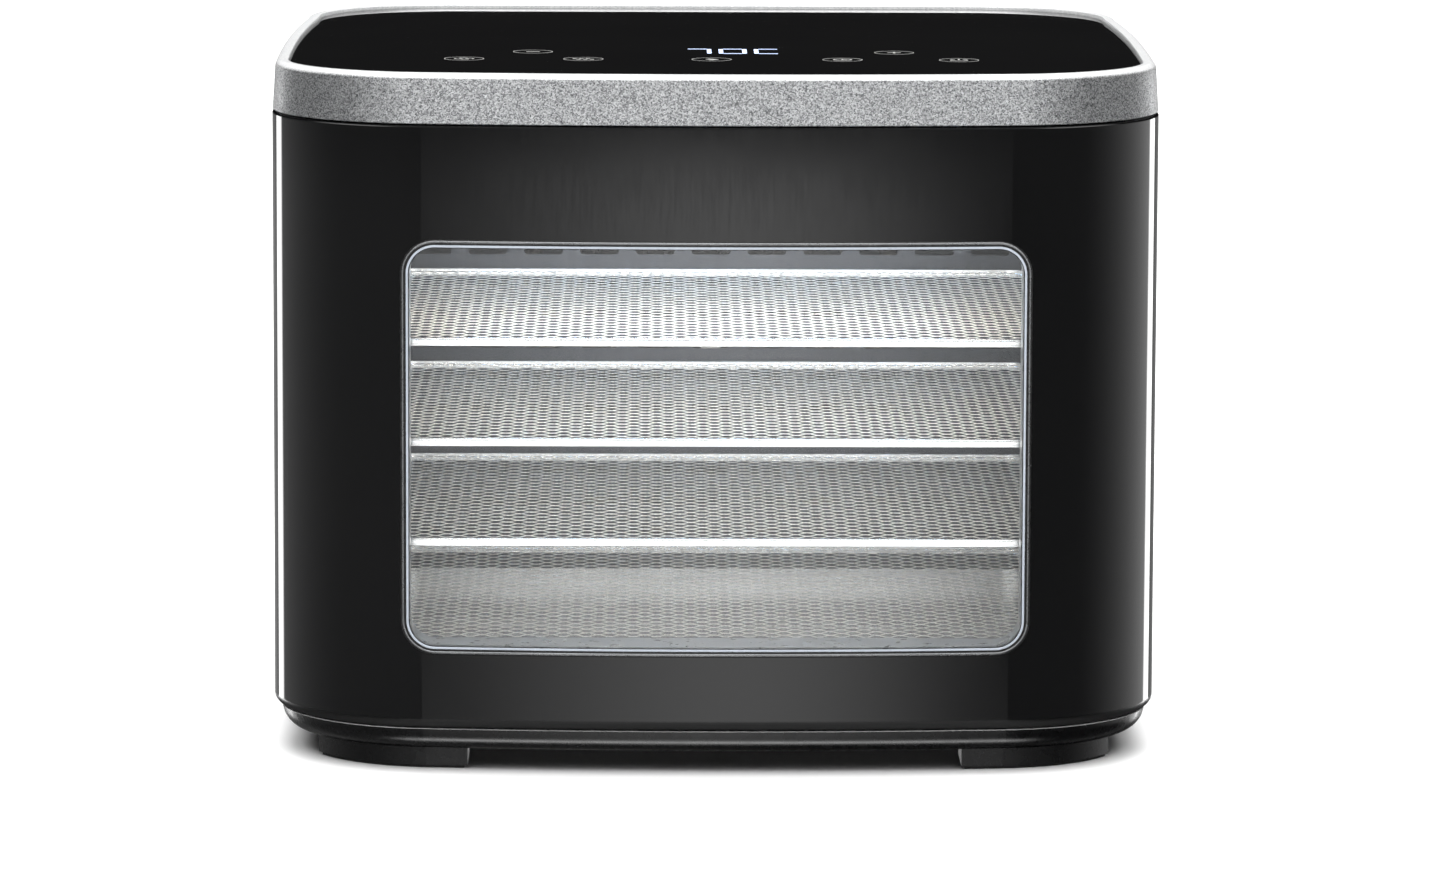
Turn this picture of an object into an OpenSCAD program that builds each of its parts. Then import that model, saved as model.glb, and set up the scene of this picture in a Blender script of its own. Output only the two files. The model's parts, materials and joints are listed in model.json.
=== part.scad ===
// Front-loading food dehydrator: a gloss housing with a lift-off windowed door,
// sliding mesh trays, a rear fan and heater, and a touch panel on the top.
// Millimetres. The origin is on the resting plane under the middle of the
// housing, +Z is up and the door faces -Y.

/* [Housing] */
// Width of the housing
body_w = 340; // [320:1:420]
// Depth of the housing at the middle of the front
body_d = 346; // [330:1:430]
// Height of the side and back walls
shell_h = 230.5; // [220:0.5:300]
// Plan radius of the four upright corners
corner_r = 66; // [50:1:70]
// Plan radius of the bowed front
bow_r = 1050; // [800:10:3000]
// Thickness of the moulded walls
wall_t = 2.4; // [1.8:0.1:3]
// Rounding along the lower edge of the walls
lower_edge_r = 4; // [3:0.5:6]
// Chamfer along the upper edge of the walls
upper_edge_c = 0.8; // [0.4:0.1:1.5]
// Width of the turned-in flanges at the top and bottom of the walls
flange_w = 20; // [18:1:24]

/* [Base] */
// Height of the feet with their pads
foot_h = 8; // [6:0.5:14]
// Height of the bowl-shaped base
base_h = 8.5; // [7:0.5:14]
// Setback of the base from the wall above
base_inset = 3; // [2:0.5:8]
// Thickness of the base moulding
base_t = 2.2; // [1.6:0.1:3]
// Length of a foot along X
foot_w = 58; // [40:1:80]
// Length of a foot along Y
foot_d = 36; // [25:1:60]
// Setback of a foot from the wall line
foot_inset = 11; // [11:1:30]
// Thickness of the rubber pad under a foot
pad_t = 1.2; // [0.8:0.1:3]

/* [Top] */
// Height of the metal-look ring
ring_h = 19; // [14:0.5:30]
// How far the ring leans in from bottom to top
ring_lean = 0.8; // [0:0.1:3]
// Radius of the ring's upper rim
ring_round = 2.4; // [1:0.1:3]
// Width of the ring seen from above
ring_rim_w = 6.6; // [5:0.1:10]
// Thickness of the touch glass
glass_t = 3.2; // [2:0.1:5]
// Depth of the glass below the rim
glass_recess = 1.5; // [0:0.1:2.4]

/* [Door] */
// Depth of the door from the front to its side seams
door_d = 76; // [74:1:110]
// Gap around the door
door_gap = 0.5; // [0.35:0.05:1]
// Width of the window opening
window_w = 238; // [180:1:250]
// Height of the window opening
window_h = 158; // [120:1:170]
// Height of the window's lower edge above the resting plane
window_z = 45.6; // [42:0.1:60]
// Corner radius of the window opening
window_r = 13; // [6:0.5:25]
// Width of the bezel around the window
bezel_w = 1.3; // [1:0.1:4]
// Thickness of the window pane
pane_t = 3; // [2:0.1:5]
// Distance from the front face to the back of the door's inner frame
sill_d = 25.4; // [22:0.1:40]
// Wall of the inner frame
frame_t = 2; // [1.5:0.1:3]
// Thickness of the door gasket
gasket_t = 1.3; // [1:0.1:3]

/* [Chamber] */
// Inner width of the drying chamber
chamber_w = 274; // [250:1:280]
// Inner height of the drying chamber
chamber_h = 210; // [200:1:240]
// Height of the chamber floor above the resting plane
chamber_z = 26; // [24:0.5:32]
// Depth of the chamber that holds the trays
chamber_d = 240; // [210:1:250]
// Depth of the fan space behind the baffle
fan_space_d = 44; // [40:1:60]
// Thickness of the sheet metal
sheet_t = 0.8; // [0.6:0.1:1.5]

/* [Trays] */
// Distance between two tray levels
tray_pitch = 38.4; // [34:0.1:39]
// Height of the lowest tray above the resting plane
tray_z = 45.1; // [44:0.1:50]
// Height of a tray rim
rim_h = 3; // [2.5:0.1:6]
// Width of a tray rim
rim_w = 5; // [4:0.5:8]
// Corner radius of a tray
tray_r = 14; // [6:1:25]
// Gap between a tray and the racks at each side
tray_gap = 0.6; // [0.4:0.1:2]
// Height of a tray above the ledge that carries it
ledge_gap = 0.3; // [0.3:0.1:1]
// Width of the ledges on the racks
ledge_w = 5; // [4:0.5:7]
// Height of the drip tray
drip_h = 8; // [5:0.5:12]

/* [Fan] */
// Radius of the impeller
impeller_r = 60; // [45:1:64]
// Number of impeller blades
blade_count = 9; // [5:1:12]
// Radius of the motor shaft
shaft_r = 2.5; // [2:0.25:4]
// Radial clearance of the shaft in its bushes
shaft_play = 0.03; // [0.02:0.01:0.08]
// Radius of the motor's rotor
rotor_r = 13; // [10:0.5:16]
// Thickness of the motor's lamination stack
stack_t = 16; // [12:1:18]
// Centre-line radius of the outer heater turn
heater_r = 82; // [76:1:88]
// Radius of the heater tube
heater_tube_r = 3.2; // [2:0.1:4]

/* [Hidden] */
$fn = 64;
level_count = 5;
tray_levels = [for (i = [0 : level_count - 1]) tray_z + i * tray_pitch];

// Heights of the stacked housing parts
base_z = foot_h;
shell_z = base_z + base_h;
ring_z = shell_z + shell_h;
top_z = ring_z + ring_h;
glass_z = top_z - glass_recess - glass_t;

// Plan outline: centres of the corner and front arcs. The bow's centre is placed
// in a coarse and a fine step, so that its arc meets the corner arcs exactly.
corner_x = body_w / 2 - corner_r;
back_corner_y = body_d / 2 - corner_r;
centre_drop = sqrt(pow(bow_r - corner_r, 2) - pow(corner_x, 2));
front_corner_y = round(1000 * (bow_r - body_d / 2 - centre_drop)) / 1000;
bow_y = round(100 * (front_corner_y + centre_drop)) / 100;
bow_fine_y = front_corner_y + centre_drop - bow_y;
front_y = -body_d / 2;
back_y = body_d / 2;

// Door and the collar that it slides over
seam_y = front_y + door_d;
door_z0 = shell_z + door_gap;
door_z1 = ring_z - door_gap;
door_flange_w = 8;
frame_y = front_y + sill_d;
gasket_clear = 0.4;
collar_y = frame_y + gasket_clear + gasket_t;
collar_t = 1.5;
collar_inset = wall_t + 2.6;
collar_back_y = seam_y + 12;
collar_z0 = shell_z + wall_t + 1.1;
collar_z1 = ring_z - wall_t - 1.1;
fit_gap = 0.2;
pane_inset = 0.5;
window_mid_z = window_z + window_h / 2;

// Chamber
chamber_y0 = collar_y + collar_t;
chamber_z1 = chamber_z + chamber_h;
baffle_y = chamber_y0 + chamber_d;
baffle_t = 1.2;
bulkhead_y = baffle_y + fan_space_d;
bulkhead_t = 1.2;
fan_z = chamber_z + chamber_h / 2;

// Racks and trays
rack_t = 1;
rack_x = chamber_w / 2 - 0.1;
tray_w = 2 * (rack_x - rack_t - tray_gap);
tray_front_y = chamber_y0 + 1.4;
tray_back_y = baffle_y - 2.5;
tray_d = tray_back_y - tray_front_y;
mesh_t = 0.8;
mesh_drop = 0.4;
mesh_seat = 2;
drip_z = chamber_z + 4;

// Motor, behind the bulkhead
stack_y = bulkhead_y + bulkhead_t + 4;
stack_w = 56;
bracket_t = 1.6;
bush_r = 5;
bush_l = 4;
hub_r = 9;
impeller_y = baffle_y + baffle_t + 8;
impeller_t = 22;

// Screws
screw_r = 1.5;
screw_head_r = 2.9;
screw_head_h = 1.6;

body_col = [0.05, 0.05, 0.055];
satin_col = [0.1, 0.1, 0.1];
ring_col = [0.62, 0.63, 0.64];
steel_col = [0.82, 0.83, 0.84];

// ---------------------------------------------------------------- outlines

// The part of the plan that the bowed front's arc covers
module front_wedge() {
    reach = 2 * body_d;
    back_x = corner_x * bow_y / (bow_y - front_corner_y);
    reach_x = corner_x * (bow_y + reach) / (bow_y - front_corner_y);
    polygon([[-back_x, 0], [back_x, 0], [reach_x, -reach], [-reach_x, -reach]]);
}

// Moves to the centre of the bowed front's arc
module at_bow() {
    translate([0, bow_y, 0]) translate([0, bow_fine_y, 0]) children();
}

// Plan outline of the housing, moved in by `inset`
module plan(inset) {
    side_x = body_w / 2 - inset;
    translate([-side_x, front_corner_y])
        square([2 * side_x, back_corner_y - front_corner_y]);
    translate([-corner_x, 0]) square([2 * corner_x, back_y - inset]);
    for (s = [-1, 1]) {
        translate([s * corner_x, front_corner_y]) circle(corner_r - inset);
        translate([s * corner_x, back_corner_y]) circle(corner_r - inset);
    }
    intersection() {
        at_bow() circle(bow_r - inset, $fn = 720);
        front_wedge();
    }
}

// A slab with the plan outline
module plan_slab(inset, z, h) {
    translate([0, 0, z]) linear_extrude(h) plan(inset);
}

// Rounded rectangle centred on the origin
module round_rect(w, h, r) {
    square([w - 2 * r, h], center = true);
    square([w, h - 2 * r], center = true);
    for (x = [-1, 1], y = [-1, 1])
        translate([x * (w / 2 - r), y * (h / 2 - r)]) circle(r);
}

// Stands a drawing in the XZ plane and gives it a thickness from y0 to y1
module upright(y0, y1) {
    translate([0, y1, 0]) rotate([90, 0, 0]) linear_extrude(y1 - y0) children();
}

// The window's rounded rectangle, moved in by `inset`
module window_shape(inset) {
    translate([0, window_mid_z])
        round_rect(window_w - 2 * inset, window_h - 2 * inset, window_r - inset);
}

// Everything behind the bowed front surface moved in by `inset`
module behind_bow(inset) {
    at_bow() cylinder(r = bow_r - inset, h = top_z, $fn = 720);
}

// These run a profile along the plan outline. In the profile, x is the distance
// out from the wall line and y is the height.
module run_front() {
    intersection() {
        for (s = [0, 1]) mirror([s, 0, 0])
            translate([corner_x, front_corner_y, 0]) mirror([0, 1, 0])
                rotate_extrude(angle = 90, $fn = 128) translate([corner_r, 0]) children();
        linear_extrude(2 * top_z) difference() {
            square(4 * body_w, center = true);
            front_wedge();
        }
    }
    intersection() {
        at_bow() mirror([0, 1, 0])
            rotate_extrude(angle = 180, $fn = 1440) translate([bow_r, 0]) children();
        linear_extrude(2 * top_z) front_wedge();
    }
}

module run_sides(y0, y1) {
    for (s = [0, 1]) mirror([s, 0, 0])
        translate([body_w / 2, y1, 0]) rotate([90, 0, 0])
            linear_extrude(y1 - y0) children();
}

module run_back() {
    for (s = [0, 1]) mirror([s, 0, 0])
        translate([corner_x, back_corner_y, 0]) rotate_extrude(angle = 90, $fn = 128)
            translate([corner_r, 0]) children();
    translate([-corner_x, back_y, 0]) rotate([90, 0, 90])
        linear_extrude(2 * corner_x) children();
}

module run_around() {
    run_front() children();
    run_sides(front_corner_y, back_corner_y) children();
    run_back() children();
}

// Section of a moulded wall with turned-in flanges
module wall_section(z0, z1, flange) {
    r = lower_edge_r;
    translate([-wall_t, z0 + r]) square([wall_t, z1 - z0 - r - upper_edge_c]);
    intersection() {
        translate([-r, z0 + r]) difference() {
            circle(r);
            circle(r - wall_t);
        }
        translate([-r, z0]) square(r);
    }
    translate([-flange, z0]) square([flange - r, wall_t]);
    polygon([
        [-flange, z1], [-upper_edge_c, z1], [0, z1 - upper_edge_c],
        [0, z1 - wall_t], [-flange, z1 - wall_t]
    ]);
}

// A countersunk-size screw pointing along +Z with its head below
module screw(length) {
    translate([0, 0, -screw_head_h]) cylinder(r = screw_head_r, h = screw_head_h);
    cylinder(r = screw_r, h = length);
}

// ---------------------------------------------------------------- housing

base_bowl_r = base_h;
base_floor_inset = base_inset + base_bowl_r;
base_lap = 6;
base_post_r = 5;
base_vent_x = 62;
base_vent_y = 92;
base_vent_w = 60;
base_post_inset = 15;
base_posts = [
    for (x = [-1, 1], y = [-60, 60]) [x * (body_w / 2 - base_post_inset), y],
    for (x = [-1, 1]) [x * 64, back_y - base_post_inset]
];

module base_section() {
    translate([-base_floor_inset - base_lap, base_z]) square([base_lap, base_t]);
    intersection() {
        translate([-base_floor_inset, shell_z]) difference() {
            circle(base_bowl_r);
            circle(base_bowl_r - base_t);
        }
        translate([-base_floor_inset, base_z]) square(base_bowl_r);
    }
}

module base_tub() {
    color(satin_col) difference() {
        union() {
            run_around() base_section();
            plan_slab(base_floor_inset + base_lap / 2, base_z, base_t);
            intersection() {
                for (p = base_posts) translate([p[0], p[1], base_z + base_t / 2])
                    cylinder(r = base_post_r, h = base_h - base_t / 2);
                plan_slab(base_inset + base_t, base_z, base_h);
            }
        }
        for (p = base_posts) translate([p[0], p[1], base_z - 1]) {
            cylinder(r = screw_r + fit_gap, h = base_h + 2);
            cylinder(r = screw_head_r + fit_gap, h = screw_head_h + 1.2);
        }
        translate([0, 0, base_z - 1]) linear_extrude(base_t + 2)
            for (x = [-1, 1], row = [-4 : 4])
                translate([x * base_vent_x, base_vent_y + row * slot_pitch]) slot(base_vent_w);
    }
}

module base_screws() {
    color("silver") for (p = base_posts)
        translate([p[0], p[1], base_z + screw_head_h + 0.2])
            screw(base_h + wall_t - screw_head_h);
}

foot_x = 94 + foot_w / 2;

module foot_blank(inset, z, h) {
    intersection() {
        plan_slab(foot_inset + inset, z, h);
        for (x = [-1, 1], y = [-1, 1])
            translate([x * foot_x, y * (body_d / 2 - foot_inset - foot_d / 2), z])
                linear_extrude(h)
                    round_rect(foot_w - 2 * inset, foot_d - 2 * inset, 4 - inset);
    }
}

module feet() {
    color(satin_col) foot_blank(0, pad_t, foot_h - pad_t);
}

module foot_pads() {
    color([0.04, 0.04, 0.04]) foot_blank(1.2, 0, pad_t);
}

cover_w = 214;
cover_h = 180;
cover_z = shell_z + shell_h / 2;
cover_r = 10;
cover_ledge = 7;
gland_x = 84;
gland_z = 28.5;
gland_r = 7;
gland_bore_r = 3.6;

module outer_shell() {
    color(body_col) difference() {
        union() {
            run_sides(seam_y + door_gap, back_corner_y)
                wall_section(shell_z, ring_z, flange_w);
            run_back() wall_section(shell_z, ring_z, flange_w);
            for (s = [-1, 1]) translate([
                s * (body_w / 2 - (wall_t + collar_inset) / 2 + 0.1),
                seam_y + door_gap + 1,
                shell_z + shell_h / 2
            ]) cube([collar_inset - wall_t + 0.2, 2, shell_h - 2 * wall_t - 2], center = true);
            upright(back_y - 2 * wall_t, back_y - wall_t) translate([0, cover_z])
                round_rect(cover_w + 6, cover_h + 6, cover_r + 3);
        }
        upright(back_y - wall_t, back_y + 1) translate([0, cover_z])
            round_rect(cover_w, cover_h, cover_r);
        upright(back_y - 3 * wall_t, back_y + 1) translate([0, cover_z])
            round_rect(cover_w - 2 * cover_ledge, cover_h - 2 * cover_ledge, cover_r - 3);
        for (p = cover_screw_spots) translate([p[0], back_y + 1, p[1]])
            rotate([90, 0, 0]) cylinder(r = screw_r + 0.05, h = 3 * wall_t);
        for (p = base_posts) translate([p[0], p[1], shell_z - 1])
            cylinder(r = screw_r + 0.05, h = wall_t + 2);
        for (p = deck_spots) translate([p[0], p[1], ring_z - wall_t - 1])
            cylinder(r = screw_r + 0.05, h = wall_t + 2);
        translate([gland_x, back_y + 1, gland_z]) rotate([90, 0, 0])
            cylinder(r = gland_r - 1.5, h = wall_t + 2);
        translate([gland_x, back_y + 1, gland_z]) rotate([90, 0, 0])
            cylinder(r = gland_r + fit_gap, h = 2);
    }
}

cover_screw_spots = [
    for (x = [-1, 1], z = [-1, 1])
        [x * (cover_w / 2 - 5), cover_z + z * (cover_h / 2 - 12)]
];
slot_w = 3;
slot_pitch = 7;
vent_r = 72;
vent_rib = 5;

module slot(length) {
    square([length - slot_w, slot_w], center = true);
    for (x = [-1, 1]) translate([x * (length - slot_w) / 2, 0]) circle(slot_w / 2);
}

module rear_cover() {
    color(satin_col) difference() {
        upright(back_y - wall_t, back_y) translate([0, cover_z])
            round_rect(cover_w - 2 * door_gap, cover_h - 2 * door_gap, cover_r - door_gap);
        upright(back_y - wall_t - 1, back_y + 1) translate([0, fan_z]) {
            for (row = [-9 : 9]) {
                z = row * slot_pitch;
                half = sqrt(pow(vent_r, 2) - pow(z, 2)) - vent_rib;
                for (s = [-1, 1])
                    translate([s * (vent_rib + half) / 2, z]) slot(half - vent_rib / 2);
            }
        }
        for (p = cover_screw_spots) translate([p[0], back_y + 1, p[1]])
            rotate([90, 0, 0]) cylinder(r = screw_r + fit_gap, h = wall_t + 2);
        for (p = cover_screw_spots) translate([p[0], back_y + 1, p[1]])
            rotate([90, 0, 0]) cylinder(r = screw_head_r + fit_gap, h = 2.2);
    }
}

module cover_screws() {
    color("silver") for (p = cover_screw_spots)
        translate([p[0], back_y - 1.2, p[1]]) rotate([90, 0, 0]) {
            translate([0, 0, -1]) cylinder(r = screw_head_r, h = 1);
            cylinder(r = screw_r, h = 2 * wall_t - 1.4);
        }
}

module cord_gland() {
    color([0.04, 0.04, 0.04]) translate([gland_x, back_y, gland_z]) rotate([90, 0, 0])
        difference() {
            union() {
                cylinder(r = gland_r, h = 1);
                cylinder(r = gland_r - 1.5 - 0.05, h = 14);
                translate([0, 0, wall_t + 0.1]) cylinder(r = gland_r + 1, h = 5);
            }
            translate([0, 0, -1]) cylinder(r = gland_bore_r, h = 16);
        }
}

// ---------------------------------------------------------------- collar

pin_x = 100;
pin_r = 1.5;
pin_play = 0.35;
pin_gasket_play = 0.6;
pin_z = (collar_z0 + collar_t + chamber_z - sheet_t) / 2;
magnet_w = 22;
magnet_h = 3.2;
magnet_t = 3;
magnet_x = 60;
magnet_top_z = (chamber_z1 + sheet_t + collar_z1 - collar_t) / 2;
magnet_low_z = pin_z;

module front_collar() {
    color(satin_col) difference() {
        intersection() {
            plan_slab(collar_inset, collar_z0, collar_z1 - collar_z0);
            translate([-body_w / 2, collar_y, 0])
                cube([body_w, collar_back_y - collar_y, top_z]);
        }
        intersection() {
            plan_slab(collar_inset + collar_t, collar_z0 + collar_t,
                collar_z1 - collar_z0 - 2 * collar_t);
            translate([-body_w / 2, chamber_y0, 0])
                cube([body_w, collar_back_y - collar_y, top_z]);
        }
        translate([-chamber_w / 2, collar_y - 1, chamber_z])
            cube([chamber_w, collar_t + 2, chamber_h]);
        for (s = [-1, 1]) translate([s * pin_x, collar_y - 1, pin_z])
            rotate([-90, 0, 0]) cylinder(r = pin_r + pin_play, h = collar_t + 2);
    }
}

module door_gasket() {
    color([0.15, 0.15, 0.15]) difference() {
        upright(collar_y - gasket_t, collar_y) translate([0, fan_z])
            round_rect(chamber_w + 8, chamber_h + 5, 4);
        upright(collar_y - gasket_t - 1, collar_y + 1) translate([0, fan_z])
            round_rect(chamber_w + 2, chamber_h + 1, 2);
        for (s = [-1, 1]) translate([s * pin_x, collar_y - gasket_t - 1, pin_z])
            rotate([-90, 0, 0]) cylinder(r = pin_r + pin_gasket_play, h = gasket_t + 2);
    }
}

module magnet_bars(y, t) {
    for (s = [-1, 1], z = [magnet_low_z, magnet_top_z])
        translate([s * magnet_x, y + t / 2, z])
            cube([magnet_w, t, magnet_h], center = true);
}

module strike_plates() {
    color("silver") magnet_bars(chamber_y0, 1.2);
}

// ---------------------------------------------------------------- top

ring_foot_w = 12;
ring_foot_t = 2.2;
ring_ledge_t = 2;
ring_crease = 0.06;
ring_tilt = 3;
deck_spots = [
    for (x = [-1, 1], y = [-40, 90]) [x * (body_w / 2 - 9), y],
    for (x = [-1, 1]) [x * 60, back_y - 9]
];

module ring_section() {
    c = [-ring_lean - ring_round - 0.2, top_z - ring_round];
    p = [-0.2, ring_z + 0.6];
    t = c + (ring_round - ring_crease) * [cos(ring_tilt), sin(ring_tilt)];
    rim_in = -ring_rim_w;
    ledge_in = -ring_rim_w - 5;
    polygon([
        p, t, c, [c[0], top_z], [rim_in, top_z], [rim_in, glass_z],
        [ledge_in, glass_z], [ledge_in, glass_z - ring_ledge_t],
        [-ring_lean - wall_t, glass_z - ring_ledge_t],
        [-wall_t - 0.2, ring_z + ring_foot_t],
        [-ring_foot_w, ring_z + ring_foot_t], [-ring_foot_w, ring_z],
        [-upper_edge_c, ring_z]
    ]);
    translate(c) circle(ring_round);
}

module top_ring() {
    color(ring_col) difference() {
        run_around() ring_section();
        for (p = deck_spots) translate([p[0], p[1], ring_z - 1])
            cylinder(r = screw_r + 0.05, h = ring_foot_t + 2);
    }
}

module touch_glass() {
    color([0.02, 0.02, 0.02]) plan_slab(ring_rim_w + fit_gap, glass_z, glass_t);
}

board_w = 250;
board_d = 74;
board_y = -66;
board_z = glass_z - 5;
board_posts = [for (x = [-1, 1], y = [-1, 1]) [x * (board_w / 2 - 8), board_y + y * (board_d / 2 - 6)]];
button_spots = [
    [-97, -84], [-71, -51], [-51, -84], [0, -84], [51, -84], [71, -51], [95, -84]
];
display_w = 46;
display_d = 26;
display_y = -47;
deck_t = 2;

module top_deck() {
    color(satin_col) difference() {
        union() {
            plan_slab(ring_foot_w + fit_gap, ring_z + 0.1, deck_t);
            for (p = board_posts) translate([p[0], p[1], ring_z + deck_t / 2])
                cylinder(r = 4, h = board_z - ring_z - deck_t / 2);
        }
        for (p = board_posts) translate([p[0], p[1], board_z - 6])
            cylinder(r = screw_r - 0.2, h = 7);
    }
}

module deck_screws() {
    color("silver") {
        for (p = deck_spots)
            translate([p[0], p[1], ring_z - wall_t]) screw(wall_t + ring_foot_t - 0.2);
        for (p = board_posts)
            translate([p[0], p[1], board_z + 1.6]) mirror([0, 0, 1]) {
                translate([0, 0, -1]) cylinder(r = 2.4, h = 1);
                cylinder(r = screw_r - 0.25, h = 6);
            }
    }
}

module touch_board() {
    color([0.05, 0.25, 0.12]) translate([0, board_y, board_z]) linear_extrude(1.6)
        difference() {
            square([board_w, board_d], center = true);
            for (p = board_posts) translate([p[0], p[1] - board_y]) circle(screw_r + 0.1);
        }
}

module touch_springs() {
    color("silver") for (p = button_spots)
        translate([p[0], p[1], board_z + 1.6]) difference() {
            cylinder(r = 4, h = glass_z - board_z - 1.6);
            translate([0, 0, -1]) cylinder(r = 3.2, h = 8);
        }
}

module display_module() {
    color([0.85, 0.87, 0.9]) translate([0, display_y, board_z + 1.6]) linear_extrude(3.2)
        square([display_w, display_d], center = true);
}

// ---------------------------------------------------------------- chamber

module chamber_box(grow, y0, y1) {
    translate([-chamber_w / 2 - grow, y0, chamber_z - grow])
        cube([chamber_w + 2 * grow, y1 - y0, chamber_h + 2 * grow]);
}

module cavity_liner() {
    color(steel_col) difference() {
        chamber_box(sheet_t, chamber_y0, bulkhead_y);
        chamber_box(0, chamber_y0 - 1, bulkhead_y + 1);
    }
}

bracket_h = chamber_z - sheet_t - base_z - base_t;

module cavity_brackets() {
    color(steel_col) for (y = [chamber_y0 + 90, bulkhead_y - 40])
        translate([-110, y, base_z + base_t]) difference() {
            cube([220, 24, bracket_h]);
            translate([-1, 1.2, 1.2]) cube([222, 21.6, bracket_h - 2.4]);
        }
}

rack_y0 = chamber_y0 + 1;
rack_y1 = baffle_y - 1.5;

module rack() {
    levels = concat([drip_z], tray_levels);
    translate([rack_x - rack_t, rack_y0, chamber_z + 0.1])
        cube([rack_t, rack_y1 - rack_y0, chamber_h - 0.2]);
    for (z = levels)
        translate([rack_x - rack_t - ledge_w, rack_y0, z - ledge_gap - rack_t])
            cube([ledge_w + rack_t / 2, rack_y1 - rack_y0, rack_t]);
}

module rack_right() {
    color(steel_col) rack();
}

module rack_left() {
    color(steel_col) mirror([1, 0, 0]) rack();
}

module back_baffle() {
    color(steel_col) difference() {
        upright(baffle_y, baffle_y + baffle_t) translate([0, fan_z])
            square([chamber_w - 0.2, chamber_h - 0.2], center = true);
        upright(baffle_y - 1, baffle_y + baffle_t + 1) translate([0, fan_z])
            for (col = [-5 : 5], row = [-7 : 7])
                translate([col * 23, row * 13]) slot(16);
    }
}

module bulkhead() {
    color(steel_col) difference() {
        chamber_box(sheet_t, bulkhead_y, bulkhead_y + bulkhead_t);
        translate([0, bulkhead_y - 1, fan_z]) rotate([-90, 0, 0])
            cylinder(r = hub_r, h = bulkhead_t + 2);
        for (p = motor_screw_spots) translate([p[0], bulkhead_y - 1, p[1]])
            rotate([-90, 0, 0]) cylinder(r = screw_r + 0.05, h = bulkhead_t + 2);
    }
}

// ---------------------------------------------------------------- heater

heater_y = baffle_y + baffle_t + 22;
heater_gap = 14;
heater_open = 30;

module heater_turn(r) {
    translate([0, heater_y, fan_z]) rotate([-90, 0, 0])
        rotate([0, 0, 90 + heater_open / 2])
            rotate_extrude(angle = 360 - heater_open, $fn = 128)
                translate([r, 0]) circle(heater_tube_r, $fn = 32);
}

module heater_element() {
    color([0.35, 0.3, 0.28]) for (r = [heater_r, heater_r - heater_gap]) {
        heater_turn(r);
        for (s = [-1, 1]) {
            a = 90 + s * heater_open / 2;
            translate([r * cos(a), heater_y, fan_z - r * sin(a)]) rotate([-90, 0, 0])
                cylinder(r = heater_tube_r - 0.6, h = bulkhead_y - heater_y, $fn = 32);
        }
    }
}

module heater_clips() {
    color(steel_col) for (a = [45, 135, 225, 315])
        translate([0, 0, fan_z]) rotate([0, a, 0])
            translate([heater_r - heater_gap / 2, heater_y + heater_tube_r, 0]) {
                translate([-heater_gap / 2 - 5, 0, -5])
                    cube([heater_gap + 10, 1.2, 10]);
                translate([-1, 1, -5])
                    cube([2, bulkhead_y - heater_y - heater_tube_r - 1, 10]);
            }
}

// ---------------------------------------------------------------- fan

motor_screw_spots = [for (x = [-1, 1]) [x * 22, fan_z + x * 18]];

module on_fan_axis(y) {
    translate([0, y, fan_z]) rotate([-90, 0, 0]) children();
}

module motor_stator() {
    color([0.45, 0.45, 0.47]) difference() {
        upright(stack_y, stack_y + stack_t) translate([0, fan_z])
            round_rect(stack_w, stack_w - 6, 4);
        on_fan_axis(stack_y - 1) cylinder(r = rotor_r + 0.5, h = stack_t + 2);
        for (p = motor_screw_spots) translate([p[0], stack_y - 1, p[1]])
            rotate([-90, 0, 0]) cylinder(r = screw_r + 0.2, h = stack_t + 2);
    }
}

module motor_coil() {
    color([0.7, 0.35, 0.15])
        upright(stack_y - 2, stack_y + stack_t + 2)
            translate([0, fan_z - stack_w / 2 - 9]) round_rect(34, 24, 4);
}

bracket_w = 40;

module motor_bracket() {
    difference() {
        union() {
            translate([-bracket_w / 2, 0, -10]) cube([bracket_w, bracket_t, 20]);
            rotate([-90, 0, 0]) cylinder(r = bush_r + 2, h = bush_l);
        }
        translate([0, -1, 0]) rotate([-90, 0, 0]) cylinder(r = bush_r, h = bush_l + 2);
    }
}

front_bracket_y = bulkhead_y + bulkhead_t;
rear_bracket_y = stack_y + stack_t + 2.2;

module motor_brackets() {
    color(steel_col) {
        translate([0, rear_bracket_y, fan_z]) {
            motor_bracket();
            for (s = [-1, 1]) translate([s * (bracket_w / 2 - 1), -2.2, -10])
                translate([-1, 0, 0]) cube([2, 2.2 + bracket_t, 20]);
        }
        translate([0, front_bracket_y, fan_z]) difference() {
            rotate([-90, 0, 0]) cylinder(r = hub_r + 4, h = 3);
            translate([0, -1, 0]) rotate([-90, 0, 0]) cylinder(r = bush_r, h = 6);
        }
    }
}

module bush(y, l) {
    on_fan_axis(y) difference() {
        cylinder(r = bush_r, h = l);
        translate([0, 0, -1]) cylinder(r = shaft_r + shaft_play, h = l + 2);
    }
}

module motor_bushes() {
    color([0.7, 0.5, 0.25]) {
        bush(front_bracket_y, 3);
        bush(rear_bracket_y, bush_l);
    }
}

module motor_screws() {
    color("silver") for (p = motor_screw_spots)
        translate([p[0], bulkhead_y, p[1]]) rotate([-90, 0, 0])
            screw(stack_y - bulkhead_y + stack_t + 1);
}

module fan_shaft() {
    color("silver") on_fan_axis(impeller_y - 6)
        cylinder(r = shaft_r, h = rear_bracket_y + bush_l + 1 - impeller_y + 6);
}

module fan_rotor() {
    color([0.5, 0.5, 0.52]) on_fan_axis(stack_y) difference() {
        cylinder(r = rotor_r, h = stack_t);
        translate([0, 0, -1]) cylinder(r = shaft_r, h = stack_t + 2);
    }
}

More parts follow.
